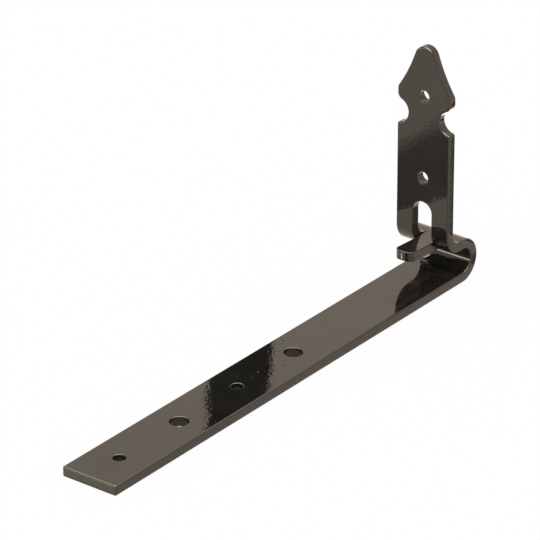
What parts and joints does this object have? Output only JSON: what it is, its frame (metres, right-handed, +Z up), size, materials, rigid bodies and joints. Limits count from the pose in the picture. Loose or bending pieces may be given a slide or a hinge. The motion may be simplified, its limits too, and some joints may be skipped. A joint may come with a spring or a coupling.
{
  "type": "turf roof hook",
  "caption": "Flat steel strap folded back on itself and turned up into a spear-headed upright, with a flat tongue; holds the eaves log of a turf roof.",
  "frame": {"origin": "middle of the bar's width on the strap's underside, below the front face of the upright", "axes": "+X from the strap's free end toward the fold, +Y across the bar, +Z up along the upright"},
  "size_m": [0.2714, 0.03, 0.1224],
  "materials": {
    "black_gloss_paint": "glossy black enamel on mild steel, slight orange peel"
  },
  "bodies": {
    "root": {"hook_bar": "black_gloss_paint"}
  },
  "joints": []
}
